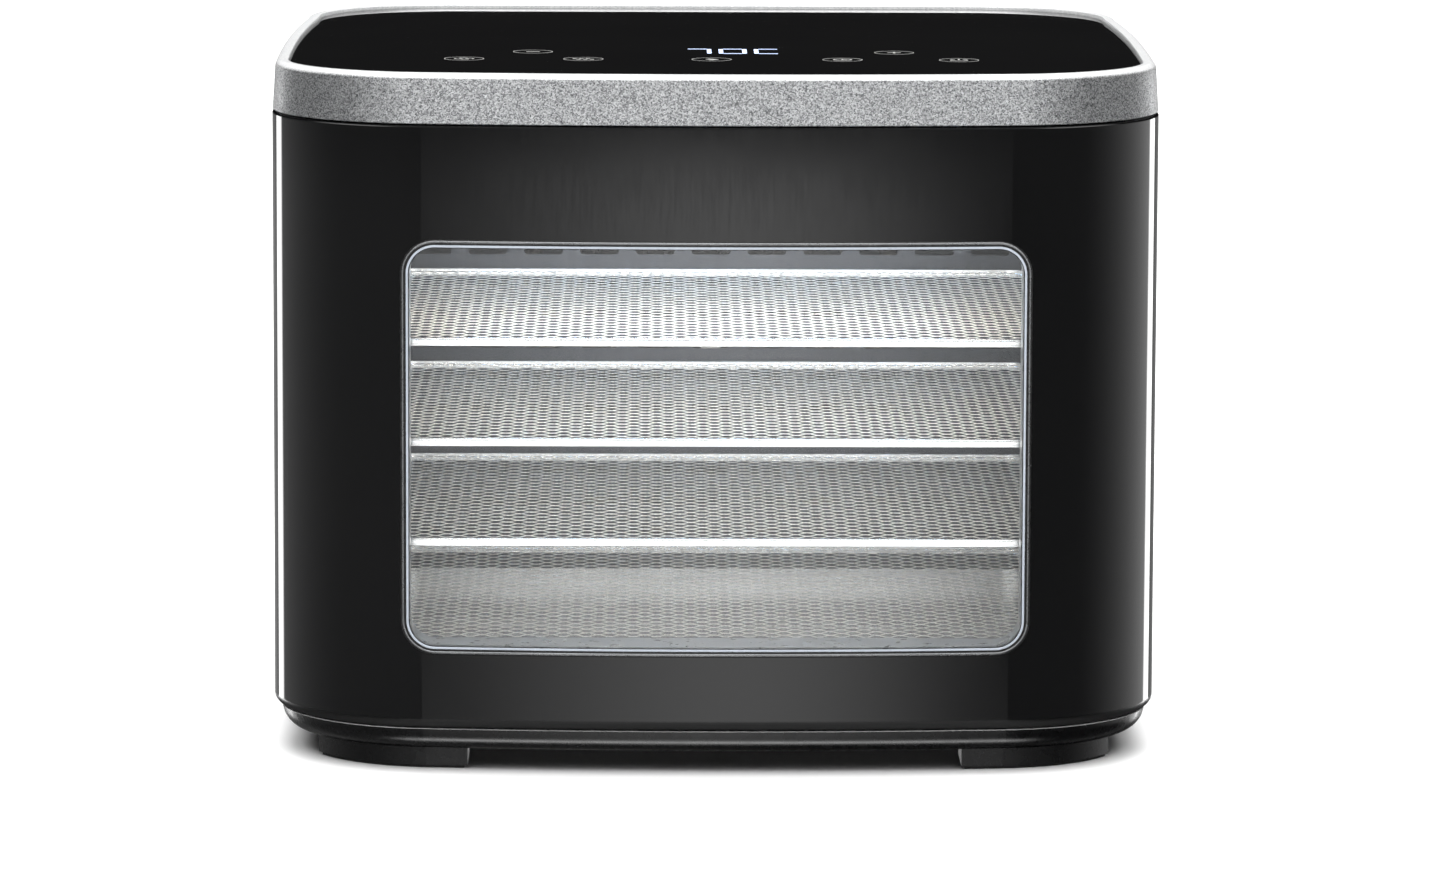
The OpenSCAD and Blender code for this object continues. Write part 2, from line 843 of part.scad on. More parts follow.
module impeller() {
    color(satin_col) on_fan_axis(impeller_y) difference() {
        union() {
            cylinder(r = hub_r - 1, h = impeller_t);
            translate([0, 0, impeller_t - 1.5]) cylinder(r = impeller_r, h = 1.5);
            for (i = [0 : blade_count - 1]) rotate([0, 0, i * 360 / blade_count])
                translate([impeller_r * 0.62, 0, impeller_t / 2]) rotate([0, 0, 28])
                    cube([impeller_r * 0.52, 1.5, impeller_t - 1], center = true);
        }
        translate([0, 0, -1]) cylinder(r = shaft_r, h = impeller_t + 2);
    }
}

module impeller_nut() {
    color("silver") on_fan_axis(impeller_y - 4) difference() {
        cylinder(r = 5, h = 4, $fn = 6);
        translate([0, 0, -1]) cylinder(r = shaft_r, h = 6);
    }
}

// ---------------------------------------------------------------- controls

thermostat_at = [70, 60];
thermal_fuse_at = [40, 70];

module thermostat() {
    color([0.75, 0.73, 0.7])
        translate([thermostat_at[0], bulkhead_y + bulkhead_t, fan_z + thermostat_at[1]])
        rotate([-90, 0, 0]) {
            cylinder(r = 11, h = 1);
            cylinder(r = 8, h = 10);
        }
}

module thermal_fuse() {
    color([0.8, 0.78, 0.7])
        translate([thermal_fuse_at[0], bulkhead_y + bulkhead_t, fan_z + thermal_fuse_at[1]])
        rotate([-90, 0, 0]) {
            cylinder(r = 9, h = 1);
            cylinder(r = 6.5, h = 8);
        }
}

air_sensor_x = -100;

module air_sensor() {
    color("silver") translate([air_sensor_x, baffle_y, chamber_z1 - 12]) rotate([90, 0, 0]) {
        cylinder(r = 4, h = 1);
        cylinder(r = 2, h = 1.8);
    }
}

lamp_w = 60;
lamp_h = 12;

module lamp_holder() {
    color([0.85, 0.85, 0.85]) difference() {
        translate([-lamp_w / 2, baffle_y - 16, chamber_z1 - lamp_h])
            cube([lamp_w, 15.8, lamp_h]);
        translate([-lamp_w / 2 + 1.5, baffle_y - 17, chamber_z1 - lamp_h + 1.5])
            cube([lamp_w - 3, 15, lamp_h - 3]);
    }
}

module lamp_lens() {
    color([0.8, 0.9, 1]) translate([-lamp_w / 2 + 1.6, baffle_y - 16, chamber_z1 - lamp_h + 1.6])
        cube([lamp_w - 3.2, 13.9, lamp_h - 3.2]);
}

power_board_x = -82;
power_board_z = 56;
power_board_y = bulkhead_y + 8;

module power_board() {
    color([0.2, 0.35, 0.15]) upright(power_board_y, power_board_y + 1.6)
        translate([power_board_x, power_board_z]) square([80, 44], center = true);
}

module power_parts() {
    y = power_board_y + 1.6;
    color([0.75, 0.6, 0.2]) translate([power_board_x - 36, y, power_board_z - 16])
        cube([24, 14, 20]);
    color([0.1, 0.2, 0.55]) translate([power_board_x + 4, y, power_board_z - 8])
        cube([18, 12, 14]);
    color([0.1, 0.1, 0.1]) translate([power_board_x + 30, y, power_board_z])
        rotate([-90, 0, 0]) cylinder(r = 6, h = 13);
}

// ---------------------------------------------------------------- door

door_boss_r = 3.6;
door_screw_spots = [
    for (x = [-1, 1], z = [32, 125, 230]) [x * 127, z],
    for (z = [33, 225]) [0, z]
];

module door_skin() {
    color(body_col) difference() {
        union() {
            run_front() wall_section(door_z0, door_z1, door_flange_w);
            run_sides(front_corner_y, seam_y) wall_section(door_z0, door_z1, door_flange_w);
            intersection() {
                for (p = door_screw_spots)
                    translate([p[0], frame_y - frame_t, p[1]]) rotate([90, 0, 0])
                        cylinder(r = door_boss_r, h = sill_d);
                plan_slab(wall_t / 2, door_z0, door_z1 - door_z0);
            }
        }
        upright(front_y - 1, frame_y) window_shape(0);
        for (p = door_screw_spots)
            translate([p[0], frame_y, p[1]]) rotate([90, 0, 0])
                cylinder(r = screw_r - 0.2, h = 9);
    }
}

module door_inner_frame() {
    tunnel_inset = bezel_w + fit_gap;
    color([0.6, 0.61, 0.62]) difference() {
        union() {
            intersection() {
                upright(frame_y - frame_t, frame_y) translate([0, window_mid_z + 0.4])
                    translate([-body_w / 2, collar_z0 - window_mid_z])
                        square([body_w, collar_z1 - collar_z0 - 0.8]);
                plan_slab(wall_t + 0.4, 0, top_z);
            }
            intersection() {
                upright(front_y, frame_y) window_shape(tunnel_inset);
                behind_bow(pane_inset + pane_t);
            }
        }
        upright(front_y - 1, frame_y + 1) window_shape(tunnel_inset + frame_t);
        for (p = door_screw_spots)
            translate([p[0], frame_y + 1, p[1]]) rotate([90, 0, 0])
                cylinder(r = screw_r + fit_gap, h = frame_t + 2);
    }
}

module window_pane() {
    color([0.85, 0.9, 0.92, 0.4]) difference() {
        intersection() {
            upright(front_y - 1, frame_y) window_shape(bezel_w + fit_gap);
            behind_bow(pane_inset);
        }
        behind_bow(pane_inset + pane_t);
    }
}

module window_bezel() {
    color([0.3, 0.31, 0.32]) difference() {
        intersection() {
            upright(front_y - 1, frame_y) window_shape(0.1);
            behind_bow(0);
        }
        behind_bow(wall_t + 1);
        upright(front_y - 2, frame_y) window_shape(bezel_w + 0.1);
    }
}

module door_magnets() {
    color([0.5, 0.5, 0.5]) magnet_bars(frame_y - frame_t - magnet_t, magnet_t);
}

module door_pins() {
    color(satin_col) for (s = [-1, 1]) translate([s * pin_x, frame_y, pin_z])
        rotate([-90, 0, 0]) cylinder(r = pin_r, h = 5);
}

module door_screws() {
    color("silver") for (p = door_screw_spots)
        translate([p[0], frame_y + 0.05, p[1]]) rotate([90, 0, 0])
            cylinder(r = screw_r - 0.25, h = 8.5);
}

// ---------------------------------------------------------------- trays

module tray_outline(inset) {
    translate([0, (tray_front_y + tray_back_y) / 2])
        round_rect(tray_w - 2 * inset, tray_d - 2 * inset, tray_r - inset);
}

module tray_rim(level) {
    color(steel_col) translate([0, 0, tray_levels[level - 1]]) difference() {
        linear_extrude(rim_h) tray_outline(0);
        translate([0, 0, -1]) linear_extrude(rim_h + 2) tray_outline(rim_w);
        translate([0, 0, rim_h - mesh_t - mesh_drop]) linear_extrude(rim_h)
            tray_outline(rim_w - mesh_seat);
    }
}

mesh_hole = 17;
mesh_bar = 3;

module tray_mesh(level) {
    pitch = mesh_hole + mesh_bar;
    cols = floor((tray_w - 2 * rim_w) / pitch);
    rows = floor((tray_d - 2 * rim_w) / pitch);
    color(steel_col)
        translate([0, 0, tray_levels[level - 1] + rim_h - mesh_t - mesh_drop])
            linear_extrude(mesh_t) difference() {
                tray_outline(rim_w - mesh_seat + 0.05);
                for (i = [0 : cols - 1], j = [0 : rows - 1])
                    translate([
                        (i - (cols - 1) / 2) * pitch,
                        (tray_front_y + tray_back_y) / 2 + (j - (rows - 1) / 2) * pitch
                    ]) square(mesh_hole, center = true);
            }
}

module drip_tray() {
    color(steel_col) translate([0, 0, drip_z]) difference() {
        linear_extrude(drip_h) tray_outline(0);
        translate([0, 0, sheet_t]) linear_extrude(drip_h) tray_outline(sheet_t);
    }
}

// ---------------------------------------------------------------- nodes

base_tub();
feet();
foot_pads();
outer_shell();
rear_cover();
front_collar();
door_gasket();
strike_plates();
top_ring();
touch_glass();
top_deck();
touch_board();
touch_springs();
display_module();
power_board();
power_parts();
cavity_liner();
cavity_brackets();
rack_left();
rack_right();
back_baffle();
bulkhead();
heater_element();
heater_clips();
motor_stator();
motor_coil();
motor_brackets();
motor_bushes();
thermostat();
thermal_fuse();
air_sensor();
lamp_holder();
lamp_lens();
cord_gland();
base_screws();
cover_screws();
motor_screws();
deck_screws();
door_skin();
door_inner_frame();
window_pane();
window_bezel();
door_magnets();
door_pins();
door_screws();
tray_rim(1);  // tray_rim_1
tray_rim(2);  // tray_rim_2
tray_rim(3);  // tray_rim_3
tray_rim(4);  // tray_rim_4
tray_rim(5);  // tray_rim_5
tray_mesh(1);  // tray_mesh_1
tray_mesh(2);  // tray_mesh_2
tray_mesh(3);  // tray_mesh_3
tray_mesh(4);  // tray_mesh_4
tray_mesh(5);  // tray_mesh_5
drip_tray();
impeller();
fan_shaft();
fan_rotor();
impeller_nut();
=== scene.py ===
import json
import math

import bpy
from mathutils import Matrix, Vector


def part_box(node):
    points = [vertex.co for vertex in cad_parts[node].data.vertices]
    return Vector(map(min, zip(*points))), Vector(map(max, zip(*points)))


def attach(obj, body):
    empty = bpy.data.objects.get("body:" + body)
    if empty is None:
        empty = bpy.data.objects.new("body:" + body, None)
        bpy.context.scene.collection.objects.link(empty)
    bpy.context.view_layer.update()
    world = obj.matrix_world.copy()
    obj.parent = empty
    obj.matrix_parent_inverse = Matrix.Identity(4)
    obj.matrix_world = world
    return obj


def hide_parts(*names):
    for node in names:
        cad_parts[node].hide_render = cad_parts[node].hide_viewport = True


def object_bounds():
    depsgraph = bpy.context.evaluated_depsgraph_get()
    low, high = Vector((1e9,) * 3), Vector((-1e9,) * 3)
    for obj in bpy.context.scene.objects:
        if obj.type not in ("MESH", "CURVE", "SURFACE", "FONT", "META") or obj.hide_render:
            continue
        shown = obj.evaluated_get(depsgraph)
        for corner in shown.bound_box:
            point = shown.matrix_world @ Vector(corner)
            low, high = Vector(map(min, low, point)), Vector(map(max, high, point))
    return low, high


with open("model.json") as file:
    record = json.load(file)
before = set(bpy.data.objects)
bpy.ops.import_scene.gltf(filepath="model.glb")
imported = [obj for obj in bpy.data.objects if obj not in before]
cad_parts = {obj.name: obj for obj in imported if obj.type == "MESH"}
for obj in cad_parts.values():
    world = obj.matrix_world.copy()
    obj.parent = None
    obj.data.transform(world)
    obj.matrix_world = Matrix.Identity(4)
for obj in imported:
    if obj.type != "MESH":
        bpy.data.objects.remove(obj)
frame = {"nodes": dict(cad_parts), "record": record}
cad_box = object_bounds()
nodes = frame["nodes"]
MM = 0.001


# ---------------------------------------------------------------- camera

# the viewing position: a long lens in front, a little above the top
CAMERA_PLACE = (-0.0234, -2.8361, 0.5000)
CAMERA_YAW = 0.555
CAMERA_TILT = 7.91
CAMERA_ROLL = 0.225
CAMERA_SENSOR = 36
CAMERA_LENS = 178.1


def add_camera():
    """A camera turned right by the yaw, down by the tilt and round by the roll, in degrees."""
    yaw, tilt, roll = (math.radians(a) for a in (CAMERA_YAW, CAMERA_TILT, CAMERA_ROLL))
    level_reach = math.cos(tilt)
    forward = Vector((math.sin(yaw) * level_reach, math.cos(yaw) * level_reach, -math.sin(tilt)))
    level = Vector((math.cos(yaw), -math.sin(yaw), 0))
    up = level.cross(forward)
    right = level * math.cos(roll) + up * math.sin(roll)
    up = right.cross(forward)
    data = bpy.data.cameras.new("photo_camera")
    data.sensor_width = CAMERA_SENSOR
    data.lens = CAMERA_LENS
    data.clip_start = 0.05
    data.clip_end = 60
    cam = bpy.data.objects.new("photo_camera", data)
    turn = Matrix((right, up, -forward)).transposed().to_4x4()
    cam.matrix_world = Matrix.Translation(CAMERA_PLACE) @ turn
    bpy.context.scene.collection.objects.link(cam)
    bpy.context.scene.camera = cam


add_camera()
bpy.context.scene.view_settings.view_transform = "Standard"


# ---------------------------------------------------------------- shader helpers

class Graph:
    """A node tree with short calls for the nodes that are used again and again."""

    def __init__(self, tree):
        self.tree = tree

    def new(self, kind, **values):
        node = self.tree.nodes.new(kind)
        for key, value in values.items():
            setattr(node, key, value)
        return node

    def link(self, a, b):
        self.tree.links.new(a, b)

    def span(self, value, low, high, out_low=0.0, out_high=1.0, smooth=False):
        """A value carried from one range to another, and held at its ends."""
        node = self.new("ShaderNodeMapRange")
        if smooth:
            node.interpolation_type = "SMOOTHSTEP"
        ends = (("From Min", low), ("From Max", high), ("To Min", out_low), ("To Max", out_high))
        for key, v in ends:
            node.inputs[key].default_value = v
        self.link(value, node.inputs["Value"])
        return node.outputs["Result"]

    def math(self, operation, *values):
        node = self.new("ShaderNodeMath", operation=operation)
        for socket, v in zip(node.inputs, values):
            if isinstance(v, (int, float)):
                socket.default_value = v
            else:
                self.link(v, socket)
        return node.outputs[0]


class Mat(Graph):
    """A node material with short calls for what the pieces need."""

    def __init__(self, name, base=(0.5, 0.5, 0.5), rough=0.5, metal=0.0, **sockets):
        self.mat = bpy.data.materials.new(name)
        self.mat.use_nodes = True
        super().__init__(self.mat.node_tree)
        self.bsdf = self.tree.nodes["Principled BSDF"]
        self.set("Base Color", (*base, 1))
        self.set("Roughness", rough)
        self.set("Metallic", metal)
        for key, value in sockets.items():
            self.set(key.replace("_", " "), value)
        coord = self.new("ShaderNodeTexCoord")
        self.object = coord.outputs["Object"]
        self.mat.diffuse_color = (*base, 1)

    def set(self, socket, value):
        self.bsdf.inputs[socket].default_value = value

    def stretched(self, scale):
        node = self.new("ShaderNodeMapping")
        node.inputs["Scale"].default_value = scale
        self.link(self.object, node.inputs["Vector"])
        return node.outputs["Vector"]

    def noise(self, scale, detail=2.0, vector=None, rough=0.5):
        node = self.new("ShaderNodeTexNoise")
        node.inputs["Scale"].default_value = scale
        node.inputs["Detail"].default_value = detail
        node.inputs["Roughness"].default_value = rough
        self.link(vector or self.object, node.inputs["Vector"])
        return node.outputs["Fac"]

    def cells(self, scale):
        node = self.new("ShaderNodeTexVoronoi")
        node.inputs["Scale"].default_value = scale
        self.link(self.object, node.inputs["Vector"])
        return node.outputs["Color"]

    def mix(self, factor, a, b):
        node = self.new("ShaderNodeMix", data_type="RGBA")
        self.link(factor, node.inputs[0])
        for socket, v in ((node.inputs[6], a), (node.inputs[7], b)):
            if isinstance(v, tuple):
                socket.default_value = (*v, 1)
            else:
                self.link(v, socket)
        return node.outputs[2]

    def axis(self, name):
        node = self.new("ShaderNodeSeparateXYZ")
        self.link(self.object, node.inputs[0])
        return node.outputs[name]

    def color(self, value):
        self.link(value, self.bsdf.inputs["Base Color"])

    def rough(self, value):
        self.link(value, self.bsdf.inputs["Roughness"])

    def bump(self, height, strength, distance):
        node = self.new("ShaderNodeBump")
        node.inputs["Strength"].default_value = strength
        node.inputs["Distance"].default_value = distance
        self.link(height, node.inputs["Height"])
        self.link(node.outputs["Normal"], self.bsdf.inputs["Normal"])


def varied(name, base, spread, rough, rough_spread, grain, depth, metal=0.0, **sockets):
    """A moulded or sheet surface: patchy tone, varied roughness and a fine grain."""
    m = Mat(name, base, rough, metal, **sockets)
    tone = m.noise(38, 3)
    low = tuple(c * (1 - spread) for c in base)
    high = tuple(min(1, c * (1 + spread)) for c in base)
    m.color(m.mix(m.span(tone, 0.3, 0.7), low, high))
    m.rough(m.span(m.noise(210, 4), 0.25, 0.75, rough - rough_spread, rough + rough_spread))
    m.bump(m.noise(grain, 2), 0.35, depth)
    return m


def brushed(name, base, rough, along, depth=0.00003):
    """Sheet steel with fine lines along one axis."""
    m = Mat(name, base, rough, 1.0)
    scale = [LINE_SCALE] * 3
    scale["xyz".index(along)] = LINE_STRETCH
    lines = m.noise(1.0, 3, m.stretched(scale), 0.6)
    m.color(m.mix(m.span(lines, 0.3, 0.7), tuple(c * 0.86 for c in base), base))
    m.rough(m.span(lines, 0.3, 0.7, rough + 0.08, rough - 0.05))
    m.bump(lines, 0.25, depth)
    return m


# ---------------------------------------------------------------- materials

SHELL_EDGE = (0.0196, 0.0214)  # heights where the shell's lower edge turns dull
RIM_HIGHLIGHT_EDGE = (0.2636, 0.2648)  # heights where the ring's band turns into its smoother rim, which is painted near-white as a highlight
LINE_SCALE = 420.0
LINE_STRETCH = 9.0


def gloss_black():
    m = Mat("gloss_black", (0.0022, 0.0023, 0.0025), 0.045, IOR=1.5)
    wave = m.noise(14, 2)
    hair = m.noise(1.0, 3, m.stretched((900.0, 900.0, 60.0)), 0.6)
    edge = m.span(m.axis("Z"), *SHELL_EDGE, 0.65, 0.0)
    m.rough(m.math("ADD", m.span(hair, 0.35, 0.8, 0.03, 0.085), edge))
    dark, light = (0.0019, 0.0020, 0.0022), (0.0026, 0.0026, 0.0028)
    m.color(m.mix(m.span(wave, 0.3, 0.7), dark, light))
    m.bump(wave, 0.08, 0.0004)
    return m.mat


def ring_silver():
    """Metallic paint with visible flakes on the band; the rim is smoother, and painted near-white
    with less metal as a highlight.
    """
    m = Mat("ring_silver", (0.5, 0.51, 0.52), 0.42, 0.85)
    flake = m.cells(2300)
    split = m.new("ShaderNodeSeparateColor")
    m.link(flake, split.inputs[0])
    speck = split.outputs["Red"]
    cloud = m.noise(900, 2)
    grey = m.mix(m.span(speck, 0.0, 1.0), (0.07, 0.073, 0.077), (0.66, 0.67, 0.68))
    grey = m.mix(m.span(cloud, 0.35, 0.65, 0.0, 0.35), grey, (0.3, 0.305, 0.31))
    # painted highlight: above these heights the crest is coloured near-white and made less metallic,
    # so it shows as a bright band
    rim = m.span(m.axis("Z"), *RIM_HIGHLIGHT_EDGE, smooth=True)
    painted_highlight = m.mix(m.span(speck, 0.0, 1.0), (0.7, 0.71, 0.72), (0.95, 0.95, 0.95))
    m.color(m.mix(rim, grey, painted_highlight))
    m.link(m.span(rim, 0.0, 1.0, 0.85, 0.25), m.bsdf.inputs["Metallic"])
    band = m.math("SUBTRACT", 1.0, rim)
    spread = m.span(split.outputs["Green"], 0.0, 1.0, 0.3, 0.6)
    m.rough(m.math("ADD", m.math("MULTIPLY", spread, band), m.math("MULTIPLY", rim, 0.2)))
    m.bump(m.math("MULTIPLY", speck, band), 0.5, 0.00008)
    return m.mat


def black_glass():
    m = Mat("black_glass", (0.004, 0.004, 0.0045), 0.03, IOR=1.5)
    m.rough(m.span(m.noise(60, 4), 0.3, 0.8, 0.02, 0.06))
    dark, light = (0.0022, 0.0022, 0.0025), (0.0032, 0.0032, 0.0034)
    m.color(m.mix(m.span(m.noise(9, 2), 0.3, 0.7), dark, light))
    return m.mat


def window_clear():
    m = Mat("window_clear", (0.98, 0.99, 0.99), 0.0, IOR=1.45)
    m.set("Transmission Weight", 1.0)
    m.rough(m.span(m.noise(300, 3), 0.55, 0.9, 0.0, 0.03))
    return m.mat


def lamp_glow(name, color, strength):
    m = Mat(name, color, 0.4)
    m.set("Emission Color", (*color, 1))
    m.set("Emission Strength", strength)
    m.color(m.mix(m.span(m.noise(700, 2), 0.3, 0.7), color, tuple(c * 0.92 for c in color)))
    return m.mat


def coil():
    m = Mat("coil_copper", (0.5, 0.2, 0.07), 0.32, 0.9)
    wire = m.new("ShaderNodeTexWave", bands_direction="Z")
    wire.inputs["Scale"].default_value = 420
    wire.inputs["Distortion"].default_value = 1.2
    m.link(m.object, wire.inputs["Vector"])
    m.color(m.mix(wire.outputs["Fac"], (0.22, 0.07, 0.02), (0.68, 0.3, 0.11)))
    m.bump(wire.outputs["Fac"], 0.8, 0.0002)
    return m.mat


def laminated():
    m = Mat("motor_iron", (0.33, 0.33, 0.34), 0.45, 0.9)
    sheet = m.new("ShaderNodeTexWave", bands_direction="Y")
    sheet.inputs["Scale"].default_value = 330
    m.link(m.object, sheet.inputs["Vector"])
    m.color(m.mix(sheet.outputs["Fac"], (0.16, 0.16, 0.17), (0.42, 0.42, 0.43)))
    m.rough(m.span(m.noise(260, 3), 0.3, 0.7, 0.35, 0.6))
    m.bump(sheet.outputs["Fac"], 0.6, 0.0001)
    return m.mat


# name, base colour, spread of tone, roughness and its spread, grain, grain depth, metallic
VARIED = [
    ("satin_black", (0.0026, 0.0026, 0.003), 0.25, 0.27, 0.04, 2600, 0.000012, 0.0),
    ("rubber", (0.009, 0.009, 0.009), 0.3, 0.78, 0.08, 1500, 0.00012, 0.0),
    ("bezel_grey", (0.22, 0.225, 0.23), 0.1, 0.28, 0.05, 1800, 0.00002, 0.9),
    ("frame_grey", (0.55, 0.56, 0.57), 0.06, 0.3, 0.05, 1500, 0.00002, 0.6),
    ("heater_steel", (0.2, 0.18, 0.16), 0.3, 0.5, 0.1, 900, 0.00005, 0.9),
    ("bronze", (0.5, 0.32, 0.14), 0.15, 0.38, 0.06, 1500, 0.00003, 1.0),
    ("board", (0.01, 0.09, 0.045), 0.25, 0.42, 0.06, 1400, 0.00003, 0.0),
    ("lamp_white", (0.72, 0.72, 0.7), 0.05, 0.42, 0.06, 1500, 0.00003, 0.0),
]
# name, base colour, roughness, the axis that the lines follow
BRUSHED = [
    # chamber_steel is far darker than steel: painted shade, so the chamber seen through the trays
    # reads dark
    ("chamber_steel", (0.06, 0.065, 0.075), 0.4, "z"),
    ("tray_steel", (0.9, 0.9, 0.9), 0.22, "x"),
    ("screw_steel", (0.62, 0.62, 0.62), 0.3, "y"),
]
MATERIALS = {
    "gloss_black": gloss_black(),
    "ring_silver": ring_silver(),
    "black_glass": black_glass(),
    "window_clear": window_clear(),
    "motor_iron": laminated(),
    "coil_copper": coil(),
    "lamp_lens": lamp_glow("lamp_lens", (0.6, 0.85, 1.0), 3.0),
}
for values in VARIED:
    MATERIALS[values[0]] = varied(*values).mat
for values in BRUSHED:
    MATERIALS[values[0]] = brushed(*values).mat

for part in frame["record"]["subparts"]:
    data = nodes[part["node"]].data
    data.materials.clear()
    data.materials.append(MATERIALS[part["material_slot"]])


# ---------------------------------------------------------------- mesh helpers

def add_piece(name, points, faces, body, slot, material=None, crease=35):
    """A mesh piece in the row frame that rides on a body. Points are in millimetres."""
    mesh = bpy.data.meshes.new(name)
    mesh.from_pydata([tuple(c * MM for c in p) for p in points], [], faces)
    mesh.validate()
    mesh.polygons.foreach_set("use_smooth", [True] * len(mesh.polygons))
    mesh.set_sharp_from_angle(angle=math.radians(crease))
    mesh.materials.append(material or MATERIALS[slot])
    piece = bpy.data.objects.new(name, mesh)
    bpy.context.scene.collection.objects.link(piece)
    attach(piece, body)
    return piece


def rounded_loop(x0, x1, y0, y1, r, steps):
    """Points and outward normals around a rounded rectangle, anticlockwise."""
    out = []
    corners = (
        (x1 - r, y1 - r, 0), (x0 + r, y1 - r, 90), (x0 + r, y0 + r, 180), (x1 - r, y0 + r, 270),
    )
    for cx, cy, start in corners:
        for k in range(steps + 1):
            a = math.radians(start + 90 * k / steps)
            n = (math.cos(a), math.sin(a))
            out.append(((cx + r * n[0], cy + r * n[1]), n))
    return out


def loop_faces(n, m, flip=False):
    """Quads over n closed sections of m points each, joined in a closed loop."""
    faces = []
    for i in range(n):
        j = (i + 1) % n
        for k in range(m):
            l = (k + 1) % m
            quad = (i * m + k, j * m + k, j * m + l, i * m + l)
            faces.append(quad[::-1] if flip else quad)
    return faces


def sweep_loop(loop, profile, place):
    """Closed sweep of a closed profile of (out, along) pairs round a loop."""
    points = []
    for (x, y), (nx, ny) in loop:
        for out, along in profile:
            points.append(place(x + nx * out, y + ny * out, along))
    return points, loop_faces(len(loop), len(profile))


# ---------------------------------------------------------------- trays

def tray_box(level):
    low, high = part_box(f"tray_rim_{level}")
    return [c / MM for c in low], [c / MM for c in high]


# (out, height) round the section of a tray's rim, in millimetres
RIM_PROFILE = [
    (-0.4, 0.0), (-0.1, 0.1), (0.0, 0.35), (0.0, 0.74), (-0.26, 0.86), (-0.26, 0.98), (0.0, 1.1),
    (0.0, 2.6), (-0.12, 2.88), (-0.45, 3.0), (-2.7, 3.0), (-3.0, 2.75), (-3.0, 1.85), (-4.8, 1.8),
    (-5.0, 1.6), (-5.0, 0.3), (-4.8, 0.0),
]
TRAY_R = 14.0
TRAY_STEPS = 12
# expanded metal: pitch along and across, strand width, thickness and twist, bond, seat and edge
MESH_LONG = 8.9
MESH_SHORT = 8.7
STRAND_W = 0.95
STRAND_T = 0.18
STRAND_TWIST = 0.05
BOND = 1.5
MESH_LIFT = 1.95
MESH_EDGE = 3.3


def tray_rim(level):
    """The folded rim, swept round the tray's outline."""
    low, high = tray_box(level)
    loop = rounded_loop(low[0], high[0], low[1], high[1], TRAY_R, TRAY_STEPS)
    points, faces = sweep_loop(loop, RIM_PROFILE, lambda x, y, h: (x, y, low[2] + h))
    piece = add_piece(f"rim_{level}", points, faces, f"tray_{level}", "tray_steel", crease=50)
    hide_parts(f"tray_rim_{level}")


def strand(points, faces, row, y0, half, z):
    """One zigzag strand of expanded metal along X, as a thin bar."""
    pitch = MESH_LONG / 2
    rise = MESH_SHORT / 2 - STRAND_W
    stops = []
    first = -math.ceil(half / pitch)
    for i in range(first, -first + 1):
        lift = rise / 2 if (i + row) % 2 else -rise / 2
        for dx in (-BOND / 2, BOND / 2):
            stops.append((i * pitch + dx, y0 + lift, STRAND_TWIST if lift > 0 else -STRAND_TWIST))
    stops = [s for s in stops if abs(s[0]) <= half]
    if len(stops) < 2:
        return
    start = len(points)
    for x, y, dz in stops:
        points += [
            (x, y - STRAND_W / 2, z + dz - STRAND_T * 0.1), (x, y + STRAND_W / 2, z + dz),
            (x, y + STRAND_W / 2, z + dz + STRAND_T), (x, y - STRAND_W / 2, z + dz + STRAND_T * 0.9),
        ]
    for s in range(len(stops) - 1):
        a = start + 4 * s
        for k in range(4):
            faces.append((a + k, a + (k + 1) % 4, a + 4 + (k + 1) % 4, a + 4 + k))
    faces.append((start + 3, start + 2, start + 1, start))
    end = start + 4 * (len(stops) - 1)
    faces.append((end, end + 1, end + 2, end + 3))


def tray_mesh(level):
    """Rows of strands, shorter near the rounded corners, seated inside the rim."""
    low, high = tray_box(level)
    half_w = (high[0] - low[0]) / 2 - MESH_EDGE
    y_low, y_high = low[1] + MESH_EDGE, high[1] - MESH_EDGE
    corner = TRAY_R - MESH_EDGE
    points, faces = [], []
    rows = int((y_high - y_low) / (MESH_SHORT / 2))
    for row in range(rows):
        y = (y_low + y_high) / 2 + (row - (rows - 1) / 2) * MESH_SHORT / 2
        near = min(y - y_low, y_high - y)
        inset = 0.0
        if near < corner:
            inset = corner - math.sqrt(max(0.0, corner ** 2 - (corner - near) ** 2))
        strand(points, faces, row, y, half_w - inset, low[2] + MESH_LIFT)
    piece = add_piece(f"expanded_mesh_{level}", points, faces, f"tray_{level}", "tray_steel",
                      MESH_METAL, 30)
    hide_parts(f"tray_mesh_{level}")


def mesh_metal():
    m = Mat("mesh_steel", (0.95, 0.93, 0.9), 0.3, 0.45)
    dark, light = (0.88, 0.86, 0.82), (0.97, 0.95, 0.91)
    m.color(m.mix(m.span(m.noise(160, 3), 0.3, 0.7), dark, light))
    m.rough(m.span(m.noise(900, 2), 0.3, 0.7, 0.24, 0.42))
    m.bump(m.noise(2400, 2), 0.3, 0.00003)
    return m.mat


MESH_METAL = mesh_metal()
for level in range(1, 6):
    tray_rim(level)
    tray_mesh(level)


# ---------------------------------------------------------------- top ring and glass

# plan of the body: a bowed front, straight sides and back, round corners about four centres
BOW_R = 1050.0
BOW_FRONT = -173.0
SIDE_X = 170.0
CORNER = 66.0
CORNER_X = 104.0
FRONT_Y = -101.489
REAR_Y = 107.0
ARC_STEPS = 24
BACK_STEPS = 4
# the ring: heights, round of its crest, width of its rim and how far its wall stands in
RING_LOW = 247.0
RING_TOP = 266.0
RING_ROUND = 2.4
ROUND_STEPS = 8
RIM = 5.3
RING_IN = 0.2
GLASS_TOP = 264.5
# the lean of its crest: everywhere, and more at the front and towards the rear of the sides
LEAN = 0.2
LEAN_FRONT = 0.8
LEAN_REAR = 3.2
LEAN_START = -20.0


def lean_at(y):
    """How far the crest of the ring leans in; the sides bow out a little between the corners."""
    if y < LEAN_START:
        return LEAN + LEAN_FRONT * min(1.0, (LEAN_START - y) / 81) ** 2
    rise = LEAN_REAR * min(1.0, (y - LEAN_START) / 120) ** 2
    fade = min(1.0, max(0.0, (y - 112) / 60))
    return LEAN + rise * (1 - 0.7 * fade * fade * (3 - 2 * fade))


